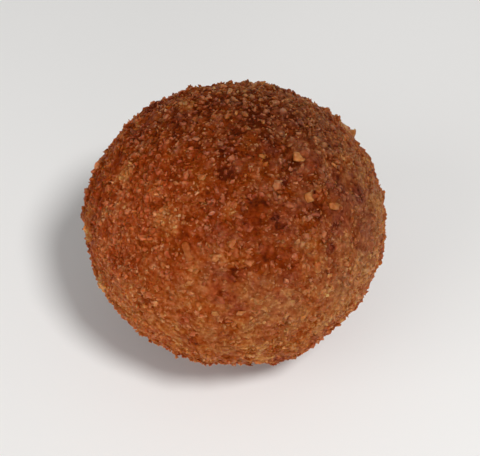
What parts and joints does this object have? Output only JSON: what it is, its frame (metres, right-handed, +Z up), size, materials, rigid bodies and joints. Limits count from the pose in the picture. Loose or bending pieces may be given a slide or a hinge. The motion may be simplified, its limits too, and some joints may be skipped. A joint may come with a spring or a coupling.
{
  "type": "alheira ball",
  "caption": "Hand-rolled ball of alheira sausage paste in a coarse breadcrumb coat, deep-fried until brown, resting on a small flat spot.",
  "frame": {"origin": "middle of the flat spot that the ball rests on, at the level of the surface under it", "axes": "+X to the right along the ball's widest side, +Y away from somebody in front of it, +Z up"},
  "size_m": [0.0448, 0.0426, 0.0394],
  "materials": {
    "fried_crumb_coat": "fried breadcrumbs, rough with a little oil"
  },
  "bodies": {
    "root": {"alheira_ball": "fried_crumb_coat"}
  },
  "joints": []
}
